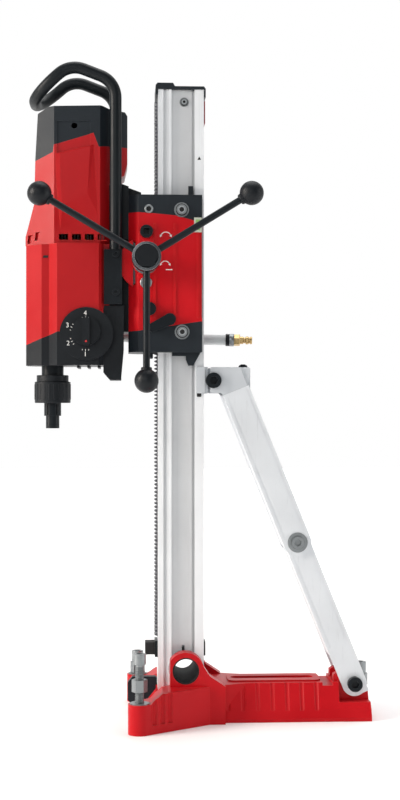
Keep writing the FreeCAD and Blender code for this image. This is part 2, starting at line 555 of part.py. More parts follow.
def bearing_plate():
    plate = prism("z", gear_plan(WALL + 0.1), PLATE_Z0, PLATE_Z1)
    plate = plate.cut(cyl("z", MOTOR_X, 0, 8, 700, 800))
    plate = plate.cut(cyl("z", MID_X, MID_Y, 11, PLATE_Z0 - 1, PLATE_Z1 - 2))
    plate = plate.cut(cyl("z", SPINDLE_X, 0, 20, PLATE_Z0 - 1, PLATE_Z1 - 2))
    plate = plate.cut(cyl("z", SPINDLE_X, 0, 14, 700, 800))
    plate = plate.cut(cyl("z", MID_X, MID_Y, 7, 700, 800))
    return plate


def gearbox_parts():
    outer = prism("z", gear_plan(), GEAR_BOTTOM, GEAR_TOP)
    line = [(-300, 622), (-257, 624), (-203, 645), (-119, 640), (-60, 640), (-60, 500), (-300, 500)]
    low_zone = prism("y", line, -90, 90)
    cavity = prism("z", gear_plan(WALL), GEAR_BOTTOM + 12, GEAR_TOP - 14)
    housing = outer.cut(low_zone).cut(cavity)
    slot = box(-131.6, -116.8, -77, -57, 677, 765)
    slot = slot.common(prism("z", [(-133, -80), (-116, -80), (-116, -58.2), (-133, -66)], 670, 770))
    for cutter in both_sides(slot):
        housing = housing.cut(cutter)
    housing = housing.cut(cyl("z", MOTOR_X, 0, 16.0, GEAR_TOP - 15, GEAR_TOP + 1))
    housing = housing.cut(cyl("y", DIAL_X, KNOB_Z, 7, -90, -50))
    node("gear_housing", housing)

    cover = outer.common(low_zone).cut(cavity)
    cover = union(cover, cyl("z", MID_X, MID_Y, 17, 600, 616))
    cover = union(cover, ring("z", SPINDLE_X, 0, 34, 26, 600, 620).common(prism("z", gear_plan(1), 600, 640)))
    for x, y, r, z in ((MID_X, MID_Y, 13, 604), (SPINDLE_X, 0, 26, 604), (SPINDLE_X, 0, 19, 580)):
        cover = cover.cut(cyl("z", x, y, r, z, 700))
    cover = cover.cut(cyl("y", DIAL_X, KNOB_Z, 7, -90, -50))
    ribs = [box(-240 + 17 * k, -236 + 17 * k, -58, 58, 586, GEAR_BOTTOM + 1).common(
        prism("z", gear_plan(2), 580, 600)) for k in range(7) if abs(-238 + 17 * k - SPINDLE_X) > 33]
    cheek = [(-137, 588), (-117.5, 566), (-99.5, 566), (-95, 615), (-95, 688), (-127, 688), (-137, 640)]
    cheek = prism("y", cheek, 54, 62).cut(prism("z", gear_plan(), 500, 700))
    cover = union(cover, *ribs, *both_sides(cheek))
    node("gear_base_cover", cover)

    shaft_hole = cyl("y", DIAL_X, KNOB_Z, 7, -90, -50)
    node("dial_plate", ring("y", DIAL_X, DIAL_Z, DIAL_R, 7, -79, -75).cut(shaft_hole))
    grip = soften(box(DIAL_X - 5.5, DIAL_X + 5.5, -101, -88, DIAL_Z - 19, DIAL_Z + 26), 3,
                  lambda e: e.BoundBox.YLength > 5)
    knob = union(cyl("y", DIAL_X, KNOB_Z, KNOB_R, -89, -79.4),
                 cyl("y", DIAL_X, KNOB_Z, 6.5, -80, -60), grip)
    node("gear_knob", knob)


def drive_mount():
    side = [(-119, 646), (CAR_FRONT, 646), (CAR_FRONT, 872), (-66, 872), (-66, 880), (-105, 894), (-119, 889)]
    mount = prism("y", side, -38, 38)
    for cutter in both_sides(box(-119.5, -80, 34, 39, 715, 800)):
        mount = mount.cut(cutter)
    for cutter in both_sides(box(CAR_FRONT, -60, 20, 60, 860, 910)):
        mount = mount.cut(cutter)
    mount = union(mount, box(-118, -99, -30, 30, 566, 647))
    mount = mount.cut(box(-103.2, -80, -60.2, -39.8, 713, 804))
    for z0, z1 in ((660, 700), (715, 780), (795, 855)):
        mount = mount.cut(box(-114, -93, -28, 28, z0, z1))
    node("drive_mount", mount)


def motor_parts():
    side = [(-258, GEAR_TOP), (-258, 803), (-243, 857), (-241, 932), (-236.7, 1005), (-219, MOTOR_TOP - 2),
            (-130, MOTOR_TOP), (-115, MOTOR_TOP - 4), (-93, MOTOR_TOP - 6), (-89, 1004), (-89, 925), (-94, 905),
            (-119, 890), (-119, GEAR_TOP)]
    flared = prism("y", side, -80, 80)
    trunk = prism("z", motor_plan(-258), GEAR_TOP, MOTOR_TOP)
    tail = prism("z", mirrored([(-130, -50), (-119, -50), (-100, -42), (-89, -36)]), 890, MOTOR_TOP)
    outer = union(trunk, tail).common(flared)
    hollow = prism("z", motor_plan(-236, 5.0), GEAR_TOP - 1, 1000)
    outer = outer.cut(hollow)
    for cutter in both_sides(box(-205, -150, -67, -64.2, 880, 990)):
        outer = outer.cut(cutter)
    outer = outer.cut(box(SWITCH_X - 13, SWITCH_X + 13, 60, 70, SWITCH_Z - 15, SWITCH_Z + 15))
    zone = cap_zone()
    housing = outer.cut(zone)
    for k in range(4):
        for cutter in both_sides(box(-201 + 21 * k, -186 + 21 * k, -67, -60, 795, 805)):
            housing = housing.cut(cutter)
    core = prism("z", motor_plan(-258, 4.0), 785, 830)
    for x, z in ((-255, 792), (-242.5, 796)):
        slant = prism("y", [(x, z), (x + 8, z), (x + 10, z + 14), (x + 2, z + 14)], -60, -20).cut(core)
        for cutter in both_sides(slant):
            housing = housing.cut(cutter)
    node("motor_housing", housing)
    node("motor_top_cap", outer.common(zone).cut(cyl("y", -176, 982.6, 5, -70, -60.5)))
    bridge = prism("z", motor_plan(-240.5, 5.5), 950, 958).cut(cyl("z", MOTOR_X, 0, 6, 940, 970))
    node("bearing_plates", bearing_plate(), bridge.cut(box(-250, -200, -70, 70, 900, 1000)))


def running_gear():
    node("motor_stator", ring("z", MOTOR_X, 0, 30.5, 22.8, 815, 885))
    rotor = union(cyl("z", MOTOR_X, 0, 22, 818, 882), cyl("z", MOTOR_X, 0, 5.9, 704, 968),
                  cyl("z", MOTOR_X, 0, 13, 896, 916), cyl("z", MOTOR_X, 0, 15, 792, 800))
    blades = []
    for k in range(9):
        blade = box(MOTOR_X + 12, MOTOR_X + 29.5, -1, 1, 792, 806)
        blade.rotate(V(MOTOR_X, 0, 0), V(0, 0, 1), 40 * k)
        blades.append(blade)
    first = math.degrees(math.atan2(MID_Y, MID_X - MOTOR_X))
    pinion = prism("z", gear_outline(1.25, 12, MOTOR_X, 0, first), 704, 727)
    node("motor_rotor", union(rotor, pinion, *blades))
    node("carbon_brushes", *both_sides(box(MOTOR_X - 5, MOTOR_X + 5, 13.2, 34, 900, 912)))
    to_motor = first + 180
    to_spindle = math.degrees(math.atan2(-MID_Y, SPINDLE_X - MID_X))
    big = prism("z", gear_outline(1.25, 42, MID_X, MID_Y, to_motor + 180 / 42), 708, 722)
    small = prism("z", gear_outline(1.5, 13, MID_X, MID_Y, to_spindle), 652, 686)
    node("intermediate_gear", union(cyl("z", MID_X, MID_Y, 6, 605, 739), big, small))
    gear = prism("z", gear_outline(1.5, 42, SPINDLE_X, 0, to_spindle + 180 + 180 / 42), 658, 680)
    spindle = union(cyl("z", SPINDLE_X, 0, 14.3, 506.5, 600), cyl("z", SPINDLE_X, 0, 11.3, 485.6, 506.5),
                    cyl("z", SPINDLE_X, 0, 15, 600, 658), cyl("z", SPINDLE_X, 0, 12, 680, 739), gear)
    spindle = spindle.cut(cyl("z", SPINDLE_X, 0, 4, 480, 640))
    for k in range(6):
        groove = box(12.6, 16, -2, 2, 508, 526)
        groove.rotate(V(0, 0, 0), V(0, 0, 1), 60 * k)
        groove.translate(V(SPINDLE_X, 0, 0))
        spindle = spindle.cut(groove)
    node("spindle", spindle)
    node("spindle_neck", ring("z", SPINDLE_X, 0, 18.4, 14.4, 575, 589.9))
    sleeve = union(cyl("z", SPINDLE_X, 0, 30, 528, 563.5), cyl("z", SPINDLE_X, 0, 26.7, 563.5, 574.6))
    sleeve = sleeve.cut(cyl("z", SPINDLE_X, 0, 14.3 + RUN_FIT, 500, 600))
    sleeve = soften(sleeve, 1.2, lambda e: e.Length > 150)
    node("chuck_sleeve", sleeve)
    bearings = [ring("z", SPINDLE_X, 0, 26, 15 + RUN_FIT, 604, 620),
                ring("z", SPINDLE_X, 0, 20, 12 + RUN_FIT, PLATE_Z0, PLATE_Z1 - 2),
                ring("z", MID_X, MID_Y, 13, 6 + RUN_FIT, 606, 616),
                ring("z", MID_X, MID_Y, 11, 6 + RUN_FIT, PLATE_Z0, PLATE_Z1 - 2),
                ring("z", MOTOR_X, 0, 16, 6, GEAR_TOP - 14, GEAR_TOP - 2)]
    node("ball_bearings", *bearings)


def handle_and_fittings():
    arm = [(HANDLE_X, HANDLE_FOOT), HANDLE_KNEE, HANDLE_CREST, HANDLE_TIP]
    points = [(x, -HANDLE_Y, z) for x, z in arm] + [(x, HANDLE_Y, z) for x, z in reversed(arm)]
    node("handle_tube", swept(rounded_path(points, [38, 40, 52, 52, 40, 38]), HANDLE_R))
    bar = union(box(-127.5, -98, -68, -61, 690, 780), box(-118, -104, -61, -54, 765, 780))
    screws = []
    for z in (773, 710):
        screw = cyl("y", -108, z, 6, -72, -68).cut(prism("y", hexagon(-108, z, 3.4), -73, -70))
        screws += both_sides(screw)
    node("handle_brackets", *both_sides(bar), *screws)
    valve = union(box(-164, -130, 75, 97, 634, 659), cyl("x", 86, 646, 8, -130, -118),
                  cyl("z", -147, 86, 8, 659, 664))
    node("water_valve", valve)
    lever = union(cyl("z", -147, 86, 9, 664.3, 670), box(-147, -112, 82, 90, 665, 670))
    node("water_valve_lever", lever)
    radii = hose_radii(HOSE_ROUTE)
    path = rounded_path(HOSE_ROUTE, radii)
    print("hose arc radii mm", [round(r) for r in radii], "length", round(path.Length, 1))
    node("water_hose", swept(path, HOSE_R))
    last, before = V(*HOSE_ROUTE[-1]), V(*HOSE_ROUTE[-2])
    along = (last - before).normalize()
    ferrule = Part.makeCylinder(11, 15, last, along)
    nut_at, nipple_at = last + along * 15, last + along * 27
    nut = Part.makeCylinder(10.5, 12, nut_at, along)
    nipple = Part.makeCylinder(7, 20, nipple_at, along)
    nipple = nipple.cut(Part.makeCylinder(4, 30, nipple_at + along * 5, along))
    node("hose_coupling", ferrule, union(nut, nipple))
    rocker = box(SWITCH_X - 12, SWITCH_X + 12, 62, 69, SWITCH_Z - 13, SWITCH_Z + 13)
    rocker_pin = cyl("x", 63, SWITCH_Z, 2.5, SWITCH_X - 12, SWITCH_X + 12)
    node("power_switch", union(rocker, rocker_pin))
    gland = union(cyl("y", -172, 1000, 8.5, 66, 76), cyl("y", -172, 1000, 6.5, 76, 92))
    node("cord_gland", gland.cut(cyl("y", -172, 1000, 4, 70, 95)))


base_parts()
column_parts()
brace_parts()
carriage_parts()
carriage_fittings()
feed_parts()
gearbox_parts()
drive_mount()
motor_parts()
running_gear()
handle_and_fittings()
for name, shape in NODES.items():
    problem = "" if shape.isValid() else " INVALID"
    print(name, len(shape.Solids), round(shape.Volume / 1000, 1), "cm3" + problem)
    shape.exportStep(f"parts/{name}.step")
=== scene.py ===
import math

import bmesh
import bpy
from mathutils import Matrix, Vector


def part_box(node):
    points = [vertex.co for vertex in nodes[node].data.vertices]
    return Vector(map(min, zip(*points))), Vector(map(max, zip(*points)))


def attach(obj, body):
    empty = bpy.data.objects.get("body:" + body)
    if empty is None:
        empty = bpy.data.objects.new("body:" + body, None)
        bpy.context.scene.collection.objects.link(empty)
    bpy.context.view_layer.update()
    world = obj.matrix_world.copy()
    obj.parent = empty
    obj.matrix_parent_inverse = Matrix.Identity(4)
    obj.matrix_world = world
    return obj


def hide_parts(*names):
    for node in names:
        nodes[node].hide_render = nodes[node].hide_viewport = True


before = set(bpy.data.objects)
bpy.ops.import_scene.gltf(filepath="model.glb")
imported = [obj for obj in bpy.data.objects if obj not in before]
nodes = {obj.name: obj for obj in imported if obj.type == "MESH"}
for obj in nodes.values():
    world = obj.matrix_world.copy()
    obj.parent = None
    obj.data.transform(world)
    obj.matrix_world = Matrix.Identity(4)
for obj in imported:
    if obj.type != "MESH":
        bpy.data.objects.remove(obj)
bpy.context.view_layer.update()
scene = bpy.context.scene
MM = 0.001


# ---- camera ----
CAMERA_PLACE = (-0.1017, -2.5, 0.533)
CAMERA_TURN = -3.1      # degrees about the vertical
LENS, SENSOR = 66.7, 36


def make_camera():
    data = bpy.data.cameras.new("camera")
    data.lens = LENS
    data.sensor_width = SENSOR
    data.clip_end = 60
    camera = bpy.data.objects.new("camera", data)
    camera.location = CAMERA_PLACE
    camera.rotation_euler = (math.radians(90), 0, math.radians(CAMERA_TURN))
    scene.collection.objects.link(camera)
    scene.camera = camera
    scene.view_settings.view_transform = "Standard"
    scene.view_settings.look = "None"


make_camera()


# ---- shared shapes ----
def add_object(name, data, coat, body):
    """A new piece with its finish in a material slot, and the body it rides on."""
    obj = bpy.data.objects.new(name, data)
    scene.collection.objects.link(obj)
    data.materials.append(MATS[coat])
    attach(obj, body)
    return obj


def mesh_from(name, bm, smooth_angle=None):
    bmesh.ops.recalc_face_normals(bm, faces=bm.faces)
    mesh = bpy.data.meshes.new(name)
    bm.to_mesh(mesh)
    bm.free()
    if smooth_angle is not None:
        mesh.shade_smooth()
        mesh.set_sharp_from_angle(angle=math.radians(smooth_angle))
    return mesh


def add_plate(bm, outline, y0, y1, top=None):
    """A plate in the XZ plane from y0 to y1; a smaller top outline gives it sloping flanks."""
    low = [bm.verts.new((x, y0, z)) for x, z in outline]
    high = [bm.verts.new((x, y1, z)) for x, z in (top or outline)]
    bm.faces.new(low)
    bm.faces.new(high)
    count = len(low)
    for k in range(count):
        bm.faces.new((low[k], low[(k + 1) % count], high[(k + 1) % count], high[k]))


def add_block(bm, middle, size):
    place = Matrix.Translation(middle) @ Matrix.Diagonal((*size, 1))
    bmesh.ops.create_cube(bm, size=1, matrix=place)


def add_turned(bm, profile, origin, axis, segments=48):
    """A body of revolution: profile is (radius, distance along the axis) pairs, closed on itself."""
    origin, axis = Vector(origin), Vector(axis).normalized()
    side = axis.orthogonal().normalized()
    other = axis.cross(side)
    rings = []
    for r, a in profile:
        ring = [bm.verts.new(origin + axis * a + (side * math.cos(t) + other * math.sin(t)) * r)
                for t in (2 * math.pi * k / segments for k in range(segments))]
        rings.append(ring)
    for first, second in zip(rings, rings[1:] + rings[:1]):
        for k in range(segments):
            bm.faces.new((first[k], first[(k + 1) % segments], second[(k + 1) % segments], second[k]))


def turned(name, profile, origin, axis, coat, body, segments=48):
    bm = bmesh.new()
    add_turned(bm, profile, origin, axis, segments)
    return add_object(name, mesh_from(name, bm, 40), coat, body)


def soften_edges(obj, width, angle=28, segments=3):
    bevel = obj.modifiers.new("soft_edges", "BEVEL")
    bevel.width = width
    bevel.segments = segments
    bevel.limit_method = "ANGLE"
    bevel.angle_limit = math.radians(angle)


# ---- materials ----
MATS = {}
EDGE_WEAR_AND_PAINTED_LIGHT_WIDTH = 0.0012


def feed(tree, socket, value):
    """Links a socket's value, or sets a plain one; a colour is given without its alpha."""
    if isinstance(value, bpy.types.NodeSocket):
        tree.links.new(value, socket)
    elif isinstance(value, tuple) and socket.type == "RGBA":
        socket.default_value = (*value, 1)
    else:
        socket.default_value = value


def link_noise(tree, source, scale, detail, roughness=0.55):
    texture = tree.nodes.new("ShaderNodeTexNoise")
    texture.inputs["Scale"].default_value = scale
    texture.inputs["Detail"].default_value = detail
    texture.inputs["Roughness"].default_value = roughness
    tree.links.new(source, texture.inputs["Vector"])
    return texture.outputs["Fac"]


def link_ramp(tree, source, stops):
    """A colour ramp through (position, colour) stops; a plain number stands for a grey."""
    node = tree.nodes.new("ShaderNodeValToRGB")
    ramp = node.color_ramp
    while len(ramp.elements) < len(stops):
        ramp.elements.new(0.5)
    for element, (position, colour) in zip(ramp.elements, sorted(stops, key=lambda stop: stop[0])):
        element.position = position
        element.color = (*colour, 1) if isinstance(colour, tuple) else (colour, colour, colour, 1)
    tree.links.new(source, node.inputs["Fac"])
    return node.outputs["Color"]


def link_mix(tree, factor, first, second, blend="MIX"):
    node = tree.nodes.new("ShaderNodeMix")
    node.data_type = "RGBA"
    node.blend_type = blend
    for socket, value in (("Factor", factor), ("A", first), ("B", second)):
        feed(tree, node.inputs[socket], value)
    return node.outputs["Result"]


def link_math(tree, kind, *values):
    node = tree.nodes.new("ShaderNodeMath")
    node.operation = kind
    for socket, value in zip(node.inputs, values):
        feed(tree, socket, value)
    return node.outputs[0]


def link_dot(tree, vector, direction):
    node = tree.nodes.new("ShaderNodeVectorMath")
    node.operation = "DOT_PRODUCT"
    feed(tree, node.inputs[0], vector)
    feed(tree, node.inputs[1], direction)
    return node.outputs["Value"]


def edge_wear_and_painted_light_mask(tree, place, amount):
    """1 on outer edges, 0 elsewhere, broken up by fine noise; the edge colour laid there is wear on most
    finishes, painted dark edge shade on the grey castings and a painted edge highlight on the satin rim.
    """
    bevel = tree.nodes.new("ShaderNodeBevel")
    bevel.samples = 4
    bevel.inputs["Radius"].default_value = EDGE_WEAR_AND_PAINTED_LIGHT_WIDTH
    shape = tree.nodes.new("ShaderNodeNewGeometry")
    flatness = link_dot(tree, bevel.outputs["Normal"], shape.outputs["Normal"])
    edge = link_math(tree, "SUBTRACT", 1.0, flatness)
    chips = link_noise(tree, place, 240, 6, 0.7)
    broken = link_math(tree, "MULTIPLY", edge, chips)
    return link_ramp(tree, broken, [(0.02, 0.0), (0.09, amount)])


DUST = (0.46, 0.44, 0.41)


def finish(name, colour, rough, metal=0.0, grain=900, bump=0.15, stretch=(1, 1, 1), tone=0.06, patches=9,
           edge_wear_and_painted_light=None, edge_wear_and_painted_light_amount=0.5, coat=0.0, dust=0.0, gloss_spread=0.07, scratch=0.0, shine=0.4,
           painted_shade_bands=None):
    """A procedural surface: colour drift, uneven gloss, fine relief, worn edges and settled dust, plus
    painted groove shade in stripes and painted edge shade and highlight on some finishes.
    """
    made = bpy.data.materials.new(name)
    made.use_nodes = True
    tree = made.node_tree
    shader = tree.nodes["Principled BSDF"]
    shader.inputs["Metallic"].default_value = metal
    shader.inputs["Specular IOR Level"].default_value = shine
    shader.inputs["Coat Weight"].default_value = coat
    shader.inputs["Coat Roughness"].default_value = 0.1
    place = tree.nodes.new("ShaderNodeTexCoord").outputs["Object"]
    mapping = tree.nodes.new("ShaderNodeMapping")
    mapping.inputs["Scale"].default_value = stretch
    tree.links.new(place, mapping.inputs["Vector"])
    grained = mapping.outputs["Vector"]
    broad = link_noise(tree, place, patches, 5)
    fine = link_noise(tree, grained, grain, 3)
    darker = tuple(c * (1 - tone) for c in colour)
    lighter = tuple(min(c * (1 + tone) + tone * 0.015, 1) for c in colour)
    surface = link_ramp(tree, broad, [(0.3, darker), (0.7, lighter)])
    # painted shade: stripes across X that darken the rail's grooves
    if painted_shade_bands:
        lowest, highest = painted_shade_bands[0][0], painted_shade_bands[-1][0]
        across = link_math(tree, "SUBTRACT", link_dot(tree, place, (1, 0, 0)), lowest)
        across = link_math(tree, "DIVIDE", across, highest - lowest)
        painted_shade_stripes = link_ramp(tree, across, [((x - lowest) / (highest - lowest), v) for x, v in painted_shade_bands])
        surface = link_mix(tree, 1.0, surface, painted_shade_stripes, "MULTIPLY")
    if scratch:
        streaks = link_noise(tree, grained, grain * 0.35, 8, 0.75)
        lines = link_ramp(tree, streaks, [(0.56, 0.0), (0.68, scratch)])
        surface = link_mix(tree, lines, surface, tuple(c * 0.55 for c in colour))
    if dust:
        normal = tree.nodes.new("ShaderNodeNewGeometry").outputs["Normal"]
        split = tree.nodes.new("ShaderNodeSeparateXYZ")
        tree.links.new(normal, split.inputs[0])
        settled = link_math(tree, "MULTIPLY", split.outputs["Z"], broad)
        amount = link_ramp(tree, settled, [(0.3, 0.0), (0.75, dust)])
        surface = link_mix(tree, amount, surface, DUST)
    # edge colour: wear on most finishes, painted dark edge shade on the grey castings, a painted edge
    # highlight on the satin rim
    if edge_wear_and_painted_light is not None:
        surface = link_mix(tree, edge_wear_and_painted_light_mask(tree, place, edge_wear_and_painted_light_amount), surface, edge_wear_and_painted_light)
    tree.links.new(surface, shader.inputs["Base Color"])
    gloss = link_ramp(tree, broad, [(0.35, rough - gloss_spread), (0.65, rough + gloss_spread)])
    tree.links.new(gloss, shader.inputs["Roughness"])
    relief = tree.nodes.new("ShaderNodeBump")
    relief.inputs["Strength"].default_value = bump
    relief.inputs["Distance"].default_value = 0.0006
    tree.links.new(fine, relief.inputs["Height"])
    tree.links.new(relief.outputs["Normal"], shader.inputs["Normal"])
    MATS[name] = made


# painted shade for the rail's grooves, worked out from its side profile
# the rail's side, from front to back: where each step starts and how deep it lies under the side face
RAIL_SIDE = [(-0.0381, 0), (-0.0290, 0.0045), (-0.0240, 0.0020), (-0.0200, 0), (-0.0156, 0.0060),
             (0.0185, 0.0090), (0.0228, 0)]
RAIL_BACK = 0.0382
STEP_BLEND = 0.0006      # width over which one shade runs into the next
# GROOVE_SHADE is painted shade: how much darker the deepest groove is painted
GROOVE_SHADE = 0.4       # how much darker the deepest groove is than the side face


def painted_groove_shade_bands():
    """(place, brightness) across the rail as painted shade: the deeper a groove lies, the darker it is
    painted.
    """
    deepest = max(depth for _, depth in RAIL_SIDE)
    ends = [start for start, _ in RAIL_SIDE[1:]] + [RAIL_BACK]
    painted_shade_bands = []
    for (start, depth), end in zip(RAIL_SIDE, ends):
        shade = 1 - GROOVE_SHADE * depth / deepest
        painted_shade_bands += [(start + STEP_BLEND / 2, shade), (end - STEP_BLEND / 2, shade)]
    return painted_shade_bands


def make_materials():
    finish("red_coat", (0.50, 0.0040, 0.0090), 0.36, grain=520, bump=0.12, tone=0.08, shine=0.16,
           edge_wear_and_painted_light=(0.62, 0.07, 0.05), edge_wear_and_painted_light_amount=0.4, dust=0.03)
    finish("red_plastic", (0.37, 0.0045, 0.0070), 0.38, grain=1400, bump=0.18, tone=0.05, shine=0.20,
           edge_wear_and_painted_light=(0.66, 0.08, 0.05), edge_wear_and_painted_light_amount=0.35, dust=0.03)
    # the rail's finish carries painted groove shade
    finish("anodised", (0.83, 0.85, 0.87), 0.36, metal=0.3, grain=420, bump=0.10, stretch=(1, 1, 0.012),
           tone=0.05, painted_shade_bands=painted_groove_shade_bands(), scratch=0.25)
    finish("strut_anodised", (0.72, 0.75, 0.78), 0.42, metal=0.3, grain=600, bump=0.12,
           stretch=(1, 1, 0.08), tone=0.05, scratch=0.22)
    # the dark edge colour of the grey castings is painted shade: dark outlines along every edge
    finish("cast_grey", (0.56, 0.59, 0.62), 0.48, metal=0.3, grain=750, bump=0.35, tone=0.09,
           edge_wear_and_painted_light=(0.13, 0.14, 0.15), edge_wear_and_painted_light_amount=0.75)
    finish("black_plastic", (0.0105, 0.0150, 0.0200), 0.46, shine=0.22, grain=1700, bump=0.35, tone=0.14,
           edge_wear_and_painted_light=(0.045, 0.052, 0.060), edge_wear_and_painted_light_amount=0.6, dust=0.02)
    finish("dark_plastic", (0.0045, 0.0065, 0.0090), 0.42, shine=0.22, grain=1500, bump=0.28, tone=0.14,
           edge_wear_and_painted_light=(0.030, 0.034, 0.039), edge_wear_and_painted_light_amount=0.5, dust=0.02)
    finish("black_coat", (0.0040, 0.0068, 0.0095), 0.36, shine=0.20, grain=800, bump=0.14, tone=0.12,
           edge_wear_and_painted_light=(0.08, 0.083, 0.086), edge_wear_and_painted_light_amount=0.35, dust=0.01)
    finish("grip_rubber", (0.0030, 0.0055, 0.0075), 0.40, shine=0.20, grain=1300, bump=0.25, tone=0.14,
           dust=0.01)
    finish("rubber", (0.0080, 0.0085, 0.0095), 0.70, grain=900, bump=0.4, tone=0.15, dust=0.12)
    finish("zinc_steel", (0.27, 0.29, 0.30), 0.34, metal=0.85, grain=900, bump=0.12, tone=0.16,
           edge_wear_and_painted_light=(0.05, 0.055, 0.055), edge_wear_and_painted_light_amount=0.85, scratch=0.3)
    # the satin rim's bright edge colour is a painted highlight round the hub
    finish("satin_grey", (0.085, 0.095, 0.105), 0.30, metal=0.5, grain=900, bump=0.10, tone=0.15, shine=0.6,
           edge_wear_and_painted_light=(0.55, 0.57, 0.60), edge_wear_and_painted_light_amount=0.8)
    finish("tool_steel", (0.10, 0.10, 0.11), 0.36, metal=0.9, grain=1100, bump=0.18, tone=0.18,
           edge_wear_and_painted_light=(0.34, 0.34, 0.35), edge_wear_and_painted_light_amount=0.4)
    finish("brass", (0.52, 0.37, 0.17), 0.32, metal=0.95, grain=900, bump=0.12, tone=0.12,
           edge_wear_and_painted_light=(0.82, 0.66, 0.36), edge_wear_and_painted_light_amount=0.4)
    finish("polymer", (0.70, 0.68, 0.58), 0.5, grain=1000, bump=0.12, tone=0.05)
    finish("vial_body", (0.50, 0.53, 0.44), 0.35, grain=1000, bump=0.08, tone=0.05)
    finish("vial_green", (0.26, 0.50, 0.16), 0.12, grain=700, bump=0.03, tone=0.06, coat=0.6)
    finish("copper", (0.48, 0.20, 0.10), 0.35, metal=0.9, grain=700, bump=0.3, tone=0.12)
    finish("hose_rubber", (0.56, 0.59, 0.60), 0.42, grain=1400, bump=0.25, tone=0.10)
    finish("mark_white", (0.80, 0.80, 0.78), 0.5, grain=1200, bump=0.05, tone=0.04)
    finish("mark_red", (0.55, 0.02, 0.02), 0.4, grain=1200, bump=0.05, tone=0.05)
    finish("strip_red", (0.19, 0.010, 0.025), 0.45, grain=1200, bump=0.1, tone=0.08)
    # near-black: printed marks and grilles, and painted shade in holes, gaps, sockets, slits and the pivot
    # tube's bore
    finish("near_black_and_painted_shade", (0.008, 0.008, 0.009), 0.7, grain=900, bump=0.2, tone=0.1)
    finish("studio_pale", (0.93, 0.93, 0.93), 0.7, grain=60, bump=0.01, tone=0.008)


make_materials()
NODE_FINISH = {
    "base_casting": "red_coat", "carriage_housing": "red_coat", "gear_housing": "red_plastic",
    "motor_housing": "red_plastic", "power_switch": "red_plastic",
    "rail": "anodised", "brace_inner_strut": "strut_anodised", "brace_outer_strut": "strut_anodised",
    "brace_head": "cast_grey", "brace_bracket": "cast_grey", "rail_foot_cheeks": "cast_grey",
    # pivot_tube is coloured near-black all over: painted shade for its dark bore
    "bearing_plates": "cast_grey", "pivot_tube": "near_black_and_painted_shade",
    "rail_end_cap": "black_plastic", "motor_top_cap": "black_plastic", "centre_pointer": "black_plastic",
    "carriage_top_cover": "black_plastic", "carriage_bottom_cover": "black_plastic",
    "gear_base_cover": "dark_plastic", "dial_plate": "dark_plastic",
    "gear_knob": "dark_plastic", "handwheel_knobs": "dark_plastic",
    "handle_tube": "grip_rubber", "handle_brackets": "black_coat", "handwheel_spokes": "black_coat",
    "handwheel_hub": "black_coat", "carriage_lock_lever": "black_coat", "drive_lock_pin": "black_coat",
    "fine_feed_shaft": "black_coat", "drive_mount": "black_coat", "brace_foot_bolts": "black_coat",
    "brace_head_bolts": "black_coat", "chuck_sleeve": "dark_plastic", "carbon_brushes": "rubber",
    "rubber_stops": "rubber", "bottom_stop_plate": "black_coat", "cord_gland": "rubber",
    "rack": "tool_steel", "feed_pinion_shaft": "tool_steel", "feed_gear": "tool_steel",
    "intermediate_gear": "tool_steel", "spindle": "black_coat", "ball_bearings": "tool_steel",
    "spindle_neck": "black_coat", "guide_shoes": "polymer", "level_vial": "vial_body",
    "motor_stator": "copper", "motor_rotor": "copper", "water_valve": "brass", "water_hose": "hose_rubber",
    "hose_coupling": "brass",
}
SOFT_EDGES = {"base_casting": 2.2, "carriage_housing": 1.0, "gear_housing": 1.6, "motor_housing": 1.4,
              "motor_top_cap": 1.8, "rail_end_cap": 0.8, "carriage_top_cover": 1.0,
              "carriage_bottom_cover": 1.0,
              "gear_base_cover": 1.0, "brace_head": 1.6, "brace_bracket": 1.2, "dial_plate": 0.8,
              "gear_knob": 0.8, "handle_brackets": 1.0, "handwheel_hub": 1.6, "chuck_sleeve": 0.6,
              "drive_mount": 1.2, "centre_pointer": 1.2, "carriage_lock_lever": 1.0, "power_switch": 0.8,
              "water_valve": 0.8, "bottom_stop_plate": 0.6, "guide_bolts": 0.5, "level_vial": 0.5}


def dress_cad_nodes():
    for name, obj in nodes.items():
        chosen = MATS[NODE_FINISH.get(name, "zinc_steel")]
        for slot in obj.material_slots:
            slot.material = chosen
        if name in SOFT_EDGES:
            soften_edges(obj, SOFT_EDGES[name] * MM)


# ---- floor and light ----
FLOOR_HALF = 9      # metres; the floor's glow is laid out over the same distance


def area_light(name, place, aim, size, watts, colour=(1, 1, 1)):
    data = bpy.data.lights.new(name, "AREA")
    data.color = colour
    data.shape = "RECTANGLE"
    data.size, data.size_y = size
    data.energy = watts
    light = bpy.data.objects.new(name, data)
    light.location = place
    direction = Vector(aim) - Vector(place)
    light.rotation_euler = direction.to_track_quat("-Z", "Y").to_euler()
    scene.collection.objects.link(light)


def make_world():
    """A pale surround, brighter behind the rig than in front of it."""
    world = bpy.data.worlds.new("studio")
    world.use_nodes = True
    tree = world.node_tree
    direction = tree.nodes.new("ShaderNodeTexCoord").outputs["Generated"]
    split = tree.nodes.new("ShaderNodeSeparateXYZ")
    tree.links.new(direction, split.inputs[0])
    shade = link_ramp(tree, link_math(tree, "MULTIPLY_ADD", split.outputs["Y"], 0.5, 0.5),
                      [(0.0, 0.20), (0.5, 0.26), (0.93, 1.0)])
    tree.links.new(shade, tree.nodes["Background"].inputs["Color"])
    tree.nodes["Background"].inputs["Strength"].default_value = 1.0
    scene.world = world


